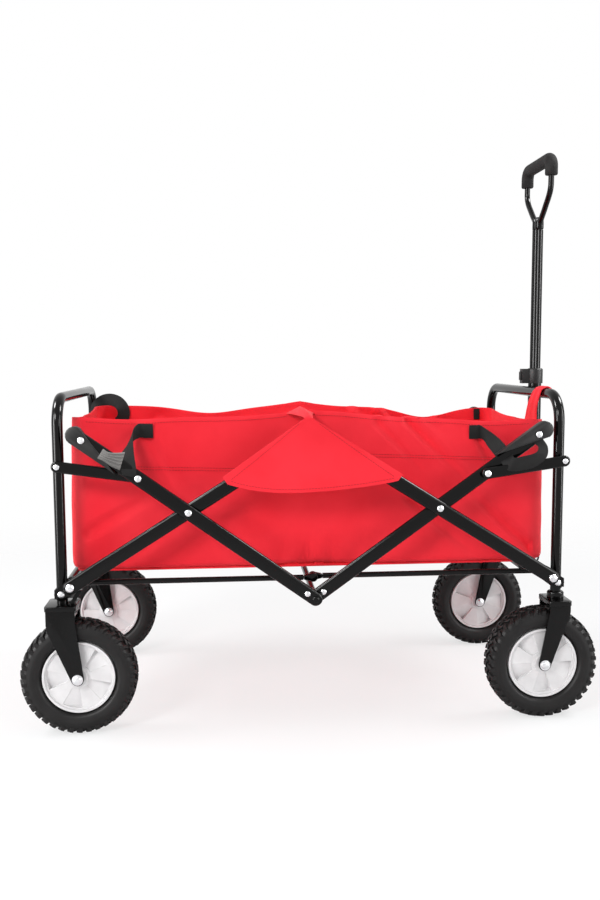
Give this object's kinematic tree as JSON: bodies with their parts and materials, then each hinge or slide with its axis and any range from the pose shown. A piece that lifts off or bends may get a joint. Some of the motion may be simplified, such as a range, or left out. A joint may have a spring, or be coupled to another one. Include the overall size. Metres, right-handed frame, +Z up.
{
  "type": "folding wagon",
  "caption": "Folding fabric utility wagon on a scissor-arm tube frame, with fixed rear wheels, swivelling front casters and a telescoping loop-grip pull handle.",
  "frame": {"origin": "on the ground, midway between the front and rear end frames and between the two sides", "axes": "+X towards the end with the pull handle, +Y to the side away from the viewer, +Z up"},
  "size_m": [1.035, 0.5114, 1.044],
  "materials": {
    "frame_paint": "gloss black powder coat",
    "bag_fabric": "red woven polyester, stitched",
    "webbing": "black woven webbing",
    "tyre_rubber": "moulded black tread",
    "hub_plastic": "white moulding",
    "fitting_plastic": "fine-grained black moulding",
    "grip_foam": "matt black foam",
    "plated_steel": "zinc plated"
  },
  "bodies": {
    "rear_frame": {"rear_hoop": "frame_paint", "rear_crossbar": "frame_paint", "rear_bracket_near": "frame_paint", "rear_bracket_far": "frame_paint", "rear_fork_near": "frame_paint", "rear_fork_far": "frame_paint", "rear_axle_near": "plated_steel", "rear_axle_far": "plated_steel", "bag": "bag_fabric", "bag_flap_near": "bag_fabric", "bag_flap_far": "bag_fabric"},
    "rear_wheel_near": {"rear_tyre_near": "tyre_rubber", "rear_hub_near": "hub_plastic"},
    "rear_wheel_far": {"rear_tyre_far": "tyre_rubber", "rear_hub_far": "hub_plastic"},
    "rear_lift_arms": {"rear_lift_arm_near": "frame_paint", "rear_lift_arm_far": "frame_paint"},
    "rear_cross_arms": {"rear_cross_arm_near": "frame_paint", "rear_cross_arm_far": "frame_paint", "rear_end_sleeve_near": "fitting_plastic", "rear_end_sleeve_far": "fitting_plastic", "centre_spreader": "frame_paint"},
    "front_lift_arms": {"front_lift_arm_near": "frame_paint", "front_lift_arm_far": "frame_paint"},
    "front_cross_arms": {"front_cross_arm_near": "frame_paint", "front_cross_arm_far": "frame_paint", "front_end_sleeve_near": "fitting_plastic", "front_end_sleeve_far": "fitting_plastic"},
    "rear_links": {"rear_link_near": "frame_paint", "rear_link_far": "frame_paint"},
    "front_links": {"front_link_near": "frame_paint", "front_link_far": "frame_paint"},
    "rear_floor": {"rear_floor_frame": "frame_paint"},
    "front_floor": {"front_floor_frame": "frame_paint"},
    "front_frame": {"front_hoop": "frame_paint", "front_crossbar": "frame_paint", "front_bracket_near": "frame_paint", "front_bracket_far": "frame_paint", "caster_stem_near": "plated_steel", "caster_stem_far": "plated_steel", "handle_bracket": "frame_paint", "handle_pin": "plated_steel", "bag_hanger": "bag_fabric"},
    "caster_near": {"front_fork_near": "frame_paint", "front_axle_near": "plated_steel"},
    "caster_far": {"front_fork_far": "frame_paint", "front_axle_far": "plated_steel"},
    "front_wheel_near": {"front_tyre_near": "tyre_rubber", "front_hub_near": "hub_plastic"},
    "front_wheel_far": {"front_tyre_far": "tyre_rubber", "front_hub_far": "hub_plastic"},
    "handle_lower": {"handle_tube": "frame_paint", "handle_collar": "fitting_plastic"},
    "handle_upper": {"handle_shaft": "frame_paint", "handle_loop": "frame_paint", "handle_grip": "grip_foam"},
    "release_button": {"release_button": "fitting_plastic"}
  },
  "joints": [
    {"name": "fold", "type": "hinge", "parent": "rear_frame", "child": "rear_lift_arms", "pos_m": [-0.4255, 0, 0.263], "axis": [0, -1, 0], "range_deg": [0, 44], "deforming": ["bag", "bag_flap_near", "bag_flap_far"]},
    {"name": "rear_cross_pivot", "type": "hinge", "parent": "rear_lift_arms", "child": "rear_cross_arms", "pos_m": [-0.21966, 0, 0.39252], "axis": [0, -1, 0], "range_deg": [-86, 0]},
    {"name": "top_pivot", "type": "hinge", "parent": "rear_lift_arms", "child": "front_lift_arms", "pos_m": [0, 0, 0.53074], "axis": [0, -1, 0], "range_deg": [-89, 0]},
    {"name": "front_cross_pivot", "type": "hinge", "parent": "front_lift_arms", "child": "front_cross_arms", "pos_m": [0.21966, 0, 0.39252], "axis": [0, -1, 0], "range_deg": [0, 86]},
    {"name": "front_frame_pivot", "type": "hinge", "parent": "front_lift_arms", "child": "front_frame", "pos_m": [0.4255, 0, 0.263], "axis": [0, -1, 0], "range_deg": [0, 45]},
    {"name": "rear_link_pivot", "type": "hinge", "parent": "rear_frame", "child": "rear_links", "pos_m": [-0.4425, 0, 0.473], "axis": [0, -1, 0], "range_deg": [0, 80]},
    {"name": "front_link_pivot", "type": "hinge", "parent": "front_frame", "child": "front_links", "pos_m": [0.4425, 0, 0.473], "axis": [0, -1, 0], "range_deg": [-80, 0]},
    {"name": "rear_floor_pivot", "type": "hinge", "parent": "rear_frame", "child": "rear_floor", "pos_m": [-0.4255, 0, 0.263], "axis": [0, -1, 0], "range_deg": [0, 74]},
    {"name": "front_floor_pivot", "type": "hinge", "parent": "front_frame", "child": "front_floor", "pos_m": [0.4255, 0, 0.263], "axis": [0, -1, 0], "range_deg": [-74, 0]},
    {"name": "caster_swivel_near", "type": "hinge", "parent": "front_frame", "child": "caster_near", "pos_m": [0.4425, -0.215, 0.214], "axis": [0, 0, 1], "continuous": true},
    {"name": "caster_swivel_far", "type": "hinge", "parent": "front_frame", "child": "caster_far", "pos_m": [0.4425, 0.215, 0.214], "axis": [0, 0, 1], "continuous": true},
    {"name": "front_wheel_spin_near", "type": "hinge", "parent": "caster_near", "child": "front_wheel_near", "pos_m": [0.416, -0.215, 0.1015], "axis": [0, 1, 0], "continuous": true},
    {"name": "front_wheel_spin_far", "type": "hinge", "parent": "caster_far", "child": "front_wheel_far", "pos_m": [0.416, 0.215, 0.1015], "axis": [0, 1, 0], "continuous": true},
    {"name": "rear_wheel_spin_near", "type": "hinge", "parent": "rear_frame", "child": "rear_wheel_near", "pos_m": [-0.416, -0.215, 0.1015], "axis": [0, 1, 0], "continuous": true},
    {"name": "rear_wheel_spin_far", "type": "hinge", "parent": "rear_frame", "child": "rear_wheel_far", "pos_m": [-0.416, 0.215, 0.1015], "axis": [0, 1, 0], "continuous": true},
    {"name": "handle_tilt", "type": "hinge", "parent": "front_frame", "child": "handle_lower", "pos_m": [0.469, 0, 0.249], "axis": [0, 1, 0], "range_deg": [0, 95]},
    {"name": "handle_slide", "type": "slide", "parent": "handle_lower", "child": "handle_upper", "axis": [0, 0, 1], "range_m": [-0.255, 0]},
    {"name": "release_press", "type": "slide", "parent": "handle_lower", "child": "release_button", "axis": [1, 0, 0], "range_m": [0, 0.0026], "stiffness_N_per_m": 400}
  ],
  "couplings": [
    {"joint": "rear_cross_pivot", "follows": "fold", "ratio": -1.934},
    {"joint": "top_pivot", "follows": "fold", "ratio": -2},
    {"joint": "front_cross_pivot", "follows": "fold", "ratio": 1.934},
    {"joint": "front_frame_pivot", "follows": "fold", "ratio": 1},
    {"joint": "rear_link_pivot", "follows": "fold", "ratio": 1.8},
    {"joint": "front_link_pivot", "follows": "fold", "ratio": -1.8},
    {"joint": "rear_floor_pivot", "follows": "fold", "ratio": 1.673},
    {"joint": "front_floor_pivot", "follows": "fold", "ratio": -1.673}
  ]
}
